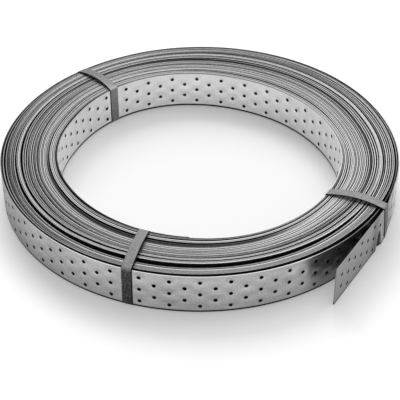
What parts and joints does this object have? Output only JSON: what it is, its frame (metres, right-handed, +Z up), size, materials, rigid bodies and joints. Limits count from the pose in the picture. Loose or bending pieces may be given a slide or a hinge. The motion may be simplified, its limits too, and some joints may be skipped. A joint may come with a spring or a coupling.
{
  "type": "perforated metal strap coil",
  "caption": "Flat coil of perforated galvanised steel strap with a straight loose end, tied with three steel bands round its section.",
  "frame": {"origin": "on the bore's axis, at the level of the floor that the coil lies on, 0.6 mm below the strap's lower edge", "axes": "+Z up along the bore's axis, +X square to the loose end's outer face, -Y the way the loose end points"},
  "size_m": [0.5924, 0.5883, 0.0652],
  "materials": {
    "strap_steel": "hot-dip galvanised strip, satin, faintly mottled",
    "band_steel": "grey strapping steel, dull"
  },
  "bodies": {
    "root": {"strap_coil": "strap_steel", "band_loose_end": "band_steel", "band_front": "band_steel", "band_rear": "band_steel"}
  },
  "joints": []
}
